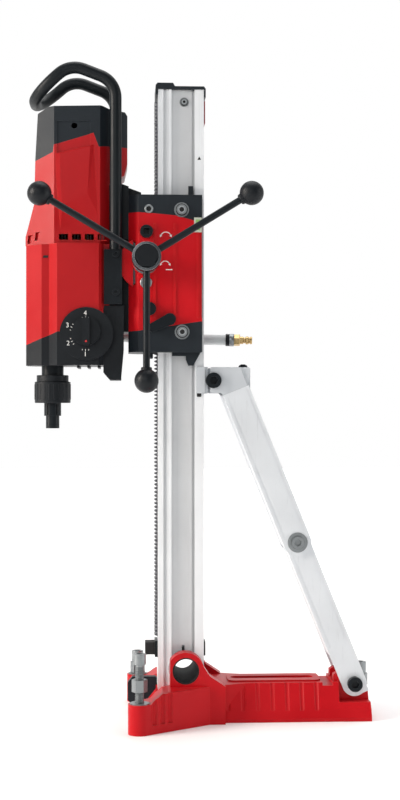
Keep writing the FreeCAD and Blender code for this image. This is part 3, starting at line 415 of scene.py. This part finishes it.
def brighten_far_floor(material):
    """The floor behind the rig glows a little, so that it runs into the bright surround with no edge."""
    tree = material.node_tree
    place = tree.nodes.new("ShaderNodeTexCoord").outputs["Object"]
    distance = tree.nodes.new("ShaderNodeVectorMath")
    distance.operation = "LENGTH"
    tree.links.new(place, distance.inputs[0])
    reach = link_math(tree, "DIVIDE", distance.outputs["Value"], FLOOR_HALF)
    glow = link_ramp(tree, reach, [(0.03, 0.10), (0.2, 0.52), (0.5, 0.72)])
    behind = link_math(tree, "MULTIPLY_ADD", link_dot(tree, place, (0, 1, 0)), 0.25, 0.5)
    glow = link_mix(tree, 1.0, glow, link_ramp(tree, behind, [(0.0, 0.22), (0.5, 1.0)]), "MULTIPLY")
    shader = tree.nodes["Principled BSDF"]
    tree.links.new(glow, shader.inputs["Emission Color"])
    shader.inputs["Emission Strength"].default_value = 1.0


def make_studio():
    bm = bmesh.new()
    bmesh.ops.create_grid(bm, x_segments=2, y_segments=2, size=FLOOR_HALF)
    floor = bpy.data.objects.new("studio_floor", mesh_from("studio_floor", bm))
    floor.location = (0, 0, -0.0004)
    scene.collection.objects.link(floor)
    floor.data.materials.append(MATS["studio_pale"])
    brighten_far_floor(MATS["studio_pale"])
    make_world()
    middle = (-0.05, 0, 0.6)
    area_light("key", (-3.3, -1.2, 1.8), middle, size=(1.0, 1.6), watts=112, colour=(1.0, 0.93, 0.86))
    area_light("left_strip", (-3.4, -0.62, 0.9), middle, size=(0.5, 2.4), watts=42, colour=(1.0, 0.90, 0.80))
    area_light("front", (-0.9, -3.4, 1.9), middle, size=(1.4, 1.4), watts=20)
    area_light("right_wall", (2.8, -0.8, 1.2), (0.05, 0, 0.5), size=(0.6, 2.0), watts=20)
    area_light("overhead", (0.2, 0.4, 3.2), (0, 0, 0.5), size=(2.2, 2.2), watts=42)


# ---- water hose and its fittings ----
HOSE_ROUTE = [(-0.118, 0.086, 0.646), (-0.076, 0.093, 0.641), (-0.030, 0.097, 0.640), (0.027, 0.095, 0.639),
              (0.083, 0.090, 0.638)]
HOSE_DIAMETER = 0.018


def water_hose():
    curve = bpy.data.curves.new("water_line", "CURVE")
    curve.dimensions = "3D"
    spline = curve.splines.new("NURBS")
    spline.points.add(len(HOSE_ROUTE) - 1)
    for point, place in zip(spline.points, HOSE_ROUTE):
        point.co = (*place, 1)
    spline.order_u = 3
    spline.use_endpoint_u = True
    spline.resolution_u = 16
    curve.bevel_depth = HOSE_DIAMETER / 2
    curve.bevel_resolution = 8
    curve.use_fill_caps = True
    hose = add_object("water_line", curve, "hose_rubber", "carriage")
    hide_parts("water_hose")
    return hose


def hose_fittings():
    """A crimped sleeve, a bright ferrule, a brass nut and a plug-in nipple in line at the hose's end."""
    end = Vector(HOSE_ROUTE[-1])
    along = (end - Vector(HOSE_ROUTE[-2])).normalized()
    crimp = [(0.0088, 0.0005), (0.0104, 0.0005), (0.0108, 0.0015)]
    for k in range(3):
        a = 0.0022 + 0.0016 * k
        crimp += [(0.0108, a), (0.0101, a + 0.0005), (0.0108, a + 0.0010)]
    crimp += [(0.0106, 0.0070), (0.0088, 0.0070)]
    sleeve = turned("hose_crimp", crimp, end, along, "dark_plastic", "carriage")
    band = [(0.0088, 0.0070), (0.0107, 0.0070), (0.0110, 0.0078), (0.0110, 0.0138), (0.0104, 0.0149),
            (0.0050, 0.0149)]
    ferrule = turned("hose_ferrule", band, end, along, "zinc_steel", "carriage")
    bm = bmesh.new()
    hexagon = [(0.0040, 0.0150), (0.0097, 0.0150), (0.0104, 0.0158), (0.0104, 0.0248), (0.0097, 0.0256),
               (0.0040, 0.0256)]
    add_turned(bm, hexagon, end, along, 6)
    nut = add_object("hose_nut", mesh_from("hose_nut", bm), "brass", "carriage")
    soften_edges(nut, 0.0004, 20, 2)
    nipple = [(0.0040, 0.0256), (0.0066, 0.0256), (0.0066, 0.0310), (0.0052, 0.0320), (0.0052, 0.0350),
              (0.0070, 0.0360), (0.0070, 0.0400), (0.0056, 0.0410), (0.0056, 0.0430), (0.0068, 0.0440),
              (0.0066, 0.0462), (0.0058, 0.0469), (0.0040, 0.0469)]
    tip = turned("hose_nipple", nipple, end, along, "brass", "carriage")
    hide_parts("hose_coupling")
    return [sleeve, ferrule, nut, tip]


def make_cord():
    hose = water_hose()
    fittings = hose_fittings()


# ---- marks ----
PRINT = 0.0002              # thickness of a printed mark
CARRIAGE_SIDE = 0.062       # the carriage's near and far faces
MOTOR_SIDE = 0.066          # the same for the motor housing
GEAR_CHAMFER = 0.0555       # where the groove starts on the gearbox's front corners


def digit(bm, text, x, z, y, height):
    """One numeral, standing on the XZ plane and facing the operator."""
    curve = bpy.data.curves.new("numeral", "FONT")
    curve.body = text
    curve.size = height * 1.4
    curve.align_x = "CENTER"
    curve.align_y = "CENTER"
    curve.extrude = 0.0001
    carrier = bpy.data.objects.new("numeral", curve)
    mesh = bpy.data.meshes.new_from_object(carrier)
    mesh.transform(Matrix.Translation((x, y, z)) @ Matrix.Rotation(math.radians(90), 4, "X"))
    bm.from_mesh(mesh)
    bpy.data.objects.remove(carrier)
    bpy.data.meshes.remove(mesh)


def strip(bm, start, end, width, y):
    """A thin printed stroke between two XZ points."""
    a, b = Vector(start), Vector(end)
    across = Vector((-(b - a).y, (b - a).x)).normalized() * width / 2
    corners = [a + across, b + across, b - across, a - across]
    add_plate(bm, [(p.x, p.y) for p in corners], y, y - PRINT)


def arc_arrow(bm, centre, r, start, end, y, width=0.0013):
    """A curved arrow with a head at both ends, its angles in degrees in the XZ plane."""
    steps = 14
    angles = [math.radians(start + (end - start) * k / steps) for k in range(steps + 1)]
    points = [Vector((centre[0] + r * math.cos(t), centre[1] + r * math.sin(t))) for t in angles]
    for a, b in zip(points, points[1:]):
        strip(bm, a, b, width, y)
    for tip, along in ((points[-1], points[-1] - points[-2]), (points[0], points[0] - points[1])):
        along = along.normalized()
        side = Vector((-along.y, along.x))
        base = tip - along * 0.0005
        head = [base + side * 0.0022, tip + along * 0.0034, base - side * 0.0022]
        add_plate(bm, [(p.x, p.y) for p in head], y, y - PRINT)


def dial_marks():
    low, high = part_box("dial_plate")
    cx, cz = (low[0] + high[0]) / 2, (low[2] + high[2]) / 2
    face = low[1]
    bm = bmesh.new()
    for text, angle in (("1", 267), ("2", 208), ("3", 156), ("4", 93)):
        t = math.radians(angle)
        digit(bm, text, cx + 0.0335 * math.cos(t), cz + 0.0335 * math.sin(t), face - 0.0001, 0.0078)
        for spread in (-11, 0, 11):
            s = math.radians(angle + spread)
            inner, outer = (0.0258, 0.0276) if spread else (0.0250, 0.0280)
            strip(bm, (cx + inner * math.cos(s), cz + inner * math.sin(s)),
                  (cx + outer * math.cos(s), cz + outer * math.sin(s)), 0.0009, face)
    add_object("dial_marks", mesh_from("dial_marks", bm), "mark_white", "carriage")
    knob_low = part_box("gear_knob")[0]
    dot = [(0.0001, -0.0002), (0.0018, -0.0002), (0.0018, 0.0004), (0.0001, 0.0004)]
    turned("knob_dot", dot, (cx, knob_low[1], knob_low[2] + 0.0065), (0, -1, 0), "mark_red",
           "gear_selector", 20)


def carriage_marks():
    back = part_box("carriage_housing")[1][0]
    side = -CARRIAGE_SIDE
    bm = bmesh.new()
    arc_arrow(bm, (-0.026, 0.8005), 0.0088, 22, 158, side)
    arc_arrow(bm, (-0.027, 0.7540), 0.0076, 22, 158, side)
    strip(bm, (-0.026, 0.7475), (-0.015, 0.7475), 0.0016, side)
    strip(bm, (-0.029, 0.7850), (-0.0265, 0.7810), 0.0010, side)
    strip(bm, (-0.0265, 0.7810), (-0.024, 0.7850), 0.0010, side)
    add_object("feed_marks", mesh_from("feed_marks", bm), "mark_white", "carriage")
    edge = bmesh.new()
    for y0, y1 in ((-0.0622, -0.0440), (0.0440, 0.0622)):
        add_block(edge, (back - 0.0002, (y0 + y1) / 2, 0.743), (0.0012, y1 - y0, 0.150))
    add_object("carriage_back_edges", mesh_from("carriage_back_edges", edge), "zinc_steel",
               "carriage")


def level_liquid():
    low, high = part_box("level_vial")
    bm = bmesh.new()
    outline = [(low[0] + 0.0028, low[2] + 0.0033), (high[0] - 0.0028, low[2] + 0.0033),
               (high[0] - 0.0028, high[2] - 0.0033), (low[0] + 0.0028, high[2] - 0.0033)]
    add_plate(bm, outline, low[1] + 0.0011, low[1] + 0.0004)
    liquid = add_object("vial_liquid", mesh_from("vial_liquid", bm), "vial_green", "carriage")
    soften_edges(liquid, 0.0003, 30, 2)
    lines = bmesh.new()
    middle = (low[2] + high[2]) / 2
    for z in (middle - 0.0032, middle + 0.0032):
        strip(lines, (low[0] + 0.003, z), (high[0] - 0.003, z), 0.0006, low[1] + 0.0004)
    add_object("vial_lines", mesh_from("vial_lines", lines), "near_black_and_painted_shade", "carriage")
    bubble = [(0.0001, 0.0), (0.0016, 0.0), (0.0013, 0.0004), (0.0001, 0.0005)]
    turned("vial_bubble", bubble, ((low[0] + high[0]) / 2, low[1] + 0.0004, middle), (0, -1, 0),
           "vial_body", "carriage", 20)


# ---- metal and plastic details ----
def carriage_bushes():
    """Steel bushes pressed into the near and far faces of the carriage, each with a near-black disc in its
    bore as painted shade.
    """
    bores = ((-0.0540, 0.8475, 0.0072, 0.0040), (-0.0585, 0.7262, 0.0098, 0.0052))
    for k, (x, z, r_out, r_in) in enumerate(bores, 1):
        for side in (-1, 1):
            face = side * CARRIAGE_SIDE
            profile = [(r_in, -0.0004), (r_out, -0.0004), (r_out, 0.0012), (r_out - 0.0008, 0.0019),
                       (r_in + 0.0006, 0.0019), (r_in, 0.0012)]
            label = "near" if side < 0 else "far"
            turned(f"bush_{k}_{label}", profile, (x, face, z), (0, side, 0), "zinc_steel",
                   "carriage")
            # a near-black disc in the bore: painted shade inside the hole
            hole_shade_disc = [(0.0001, -0.0003), (r_in, -0.0003), (r_in, 0.0003), (0.0001, 0.0003)]
            turned(f"bush_{k}_{label}_hole", hole_shade_disc, (x, face, z), (0, side, 0), "near_black_and_painted_shade",
                   "carriage")


def screw_faces():
    """Painted shade in the gap round each screw head and in the recess of its drive socket, and the socket's
    bright rim.
    """
    places = [("carriage", 0.0, 0.846, 0.0690, 0.0085), ("carriage", 0.0009, 0.645, 0.0690, 0.0085),
              ("column", 0.0055, 1.0296, 0.0346, 0.0052)]
    for k, (body, x, z, face, r) in enumerate(places, 1):
        for label, side in (("near", -1), ("far", 1)):
            spot, out = (x, side * face, z), (0, side, 0)
            # a near-black ring sunk round the head: painted shade in the gap
            gap_shade = [(r, -0.0030), (r * 1.16, -0.0030), (r * 1.16, -0.0022), (r, -0.0012)]
            turned(f"screw_{k}_{label}_gap", gap_shade, spot, out, "near_black_and_painted_shade", body)
            rim = [(r * 0.50, -0.0002), (r * 0.66, -0.0002), (r * 0.63, 0.0005), (r * 0.52, 0.0005)]
            turned(f"screw_{k}_{label}_rim", rim, spot, out, "cast_grey", body)
            # a near-black hexagon on the face: painted shade in the socket's recess
            socket = [(0.0001, -0.0004), (r * 0.48, -0.0004), (r * 0.48, 0.0002), (0.0001, 0.0002)]
            turned(f"screw_{k}_{label}_socket", socket, spot, out, "near_black_and_painted_shade", body, 6)


def hub_collar():
    """A bright thrust ring behind the handwheel hub, and the satin rim in front of it, whose bright edge
    colour is a painted highlight.
    """
    low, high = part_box("handwheel_hub")
    cx, cz = (low[0] + high[0]) / 2, (low[2] + high[2]) / 2
    profile = [(0.0125, 0.0), (0.0200, 0.0), (0.0205, 0.0006), (0.0205, 0.0022), (0.0200, 0.0028),
               (0.0125, 0.0028)]
    turned("thrust_ring", profile, (cx, -0.0842, cz), (0, -1, 0), "zinc_steel", "handwheel")
    rim = [(0.0190, 0.0), (0.0226, 0.0), (0.0229, 0.0030), (0.0216, 0.0034), (0.0190, 0.0034)]
    turned("hub_rim", rim, (cx, low[1] + 0.0026, cz), (0, -1, 0), "satin_grey",
           "handwheel")


def rail_marks():
    low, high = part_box("rail")
    back = high[0]
    bm = bmesh.new()
    add_block(bm, (back + 0.0011, 0, 1.0125), (0.0022, 0.068, 0.037))
    add_object("rail_end_strip", mesh_from("rail_end_strip", bm), "strip_red", "column")
    marks = bmesh.new()
    for face in (low[1], high[1]):
        out = -0.0003 if face < 0 else 0.0003
        add_plate(marks, [(0.0275, 0.9330), (0.0335, 0.9330), (0.0305, 0.9385)], face, face + out)
    add_object("rail_index_mark", mesh_from("rail_index_mark", marks), "near_black_and_painted_shade",
               "column")
    ticks = bmesh.new()
    bracket_low, bracket_high = 0.540, 0.592
    for k in range(60):
        z = 0.180 + 0.010 * k
        if bracket_low < z < bracket_high:
            continue
        width = 0.006 if k % 5 == 0 else 0.0035
        add_block(ticks, (back + 0.00005, -0.022, z), (0.0002, width, 0.0005))
    add_object("rail_depth_scale", mesh_from("rail_depth_scale", ticks), "near_black_and_painted_shade",
               "column")


def bracket_pads():
    """A small black stop under each cheek of the brace's column bracket."""
    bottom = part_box("brace_bracket")[0][2]
    bm = bmesh.new()
    for side in (-1, 1):
        add_block(bm, (0.0300, side * 0.0402, bottom - 0.0028), (0.0075, 0.0030, 0.0060))
    pads = add_object("bracket_pads", mesh_from("bracket_pads", bm), "rubber", "column")
    soften_edges(pads, 0.0012, 30, 3)


def side_panels():
    """Raised panels with sloping flanks on both sides of the motor housing."""
    z0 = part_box("motor_housing")[0][2]
    outer = [(-0.2060, z0 + 0.098), (-0.2075, z0 + 0.148), (-0.1430, z0 + 0.1635), (-0.1360, z0 + 0.045),
             (-0.1990, z0 + 0.020)]
    inner = [(-0.1985, z0 + 0.094), (-0.1995, z0 + 0.1475), (-0.1500, z0 + 0.1600), (-0.1545, z0 + 0.083),
             (-0.1955, z0 + 0.062)]
    bm = bmesh.new()
    for side in (-1, 1):
        face = side * (MOTOR_SIDE - PRINT)
        add_plate(bm, outer, face, face + side * 0.0022, inner)
    panel = add_object("motor_side_panels", mesh_from("motor_side_panels", bm), "red_plastic",
                       "carriage")
    soften_edges(panel, 0.0005, 12, 2)


def vent_frames():
    """A thin raised lip under each cooling slot, and the dark grille inside it."""
    z_low, z_high = 0.795, 0.805
    lips = bmesh.new()
    bars = bmesh.new()
    for side in (-1, 1):
        face = side * MOTOR_SIDE
        for k in range(4):
            x0 = -0.2010 + 0.021 * k
            x1 = x0 + 0.015
            lip = [(x0 + 0.001, z_low - 0.0012), (x1, z_low - 0.0012), (x1, z_low), (x0, z_low)]
            add_plate(lips, lip, face, face + side * 0.0012)
            for x in (x0 + 0.005, x0 + 0.010):
                add_plate(bars, [(x - 0.0005, z_low), (x + 0.0005, z_low), (x + 0.0005, z_high),
                                 (x - 0.0005, z_high)], side * 0.0625, side * 0.0640)
    add_object("vent_lips", mesh_from("vent_lips", lips), "red_plastic", "carriage")
    add_object("vent_grilles", mesh_from("vent_grilles", bars), "near_black_and_painted_shade", "carriage")


def sight_slit_shade():
    """A thin dark plate for the small slit at the top of the groove on each front corner of the gearbox:
    painted shade of the opening.
    """
    bm = bmesh.new()
    for side in (-1, 1):
        add_plate(bm, [(-0.2280, 0.7665), (-0.2195, 0.7665), (-0.2185, 0.7705), (-0.2265, 0.7705)],
                  side * GEAR_CHAMFER, side * (GEAR_CHAMFER + 0.0008))
    add_object("sight_slit_shade", mesh_from("sight_slit_shade", bm), "near_black_and_painted_shade", "carriage")


SPOKE_PLANE = -0.165
SPOKE_ANGLES = (149.5, 31.5, -90.0)


def knob_seams():
    """A flat boss where each ball knob meets its spoke."""
    low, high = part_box("handwheel_hub")
    hub = Vector(((low[0] + high[0]) / 2, SPOKE_PLANE, (low[2] + high[2]) / 2))
    for k, angle in enumerate(SPOKE_ANGLES, 1):
        out = Vector((math.cos(math.radians(angle)), 0, math.sin(math.radians(angle))))
        boss = [(0.0056, 0.1735), (0.0078, 0.1735), (0.0086, 0.1750), (0.0090, 0.1775), (0.0056, 0.1775)]
        turned(f"knob_boss_{k}", boss, hub, out, "dark_plastic", "handwheel")


def chuck_flutes():
    """Grip ribs around the chuck's turning sleeve."""
    low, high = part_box("chuck_sleeve")
    cx, cy = (low[0] + high[0]) / 2, (low[1] + high[1]) / 2
    r = (high[0] - low[0]) / 2
    bm = bmesh.new()
    count = 22
    for k in range(count):
        turn = Matrix.Rotation(2 * math.pi * k / count, 4, "Z")
        place = Matrix.Translation((cx, cy, 0)) @ turn @ Matrix.Translation((r - 0.0003, 0, 0.5465))
        bmesh.ops.create_cube(bm, size=1, matrix=place @ Matrix.Diagonal((0.0016, 0.0034, 0.026, 1)))
    ribs = add_object("chuck_ribs", mesh_from("chuck_ribs", bm), "dark_plastic", "chuck")
    soften_edges(ribs, 0.0006, 30, 2)


make_cord()
make_studio()
dress_cad_nodes()
dial_marks()
carriage_marks()
level_liquid()
carriage_bushes()
screw_faces()
hub_collar()
rail_marks()
bracket_pads()
side_panels()
vent_frames()
sight_slit_shade()
knob_seams()
chuck_flutes()
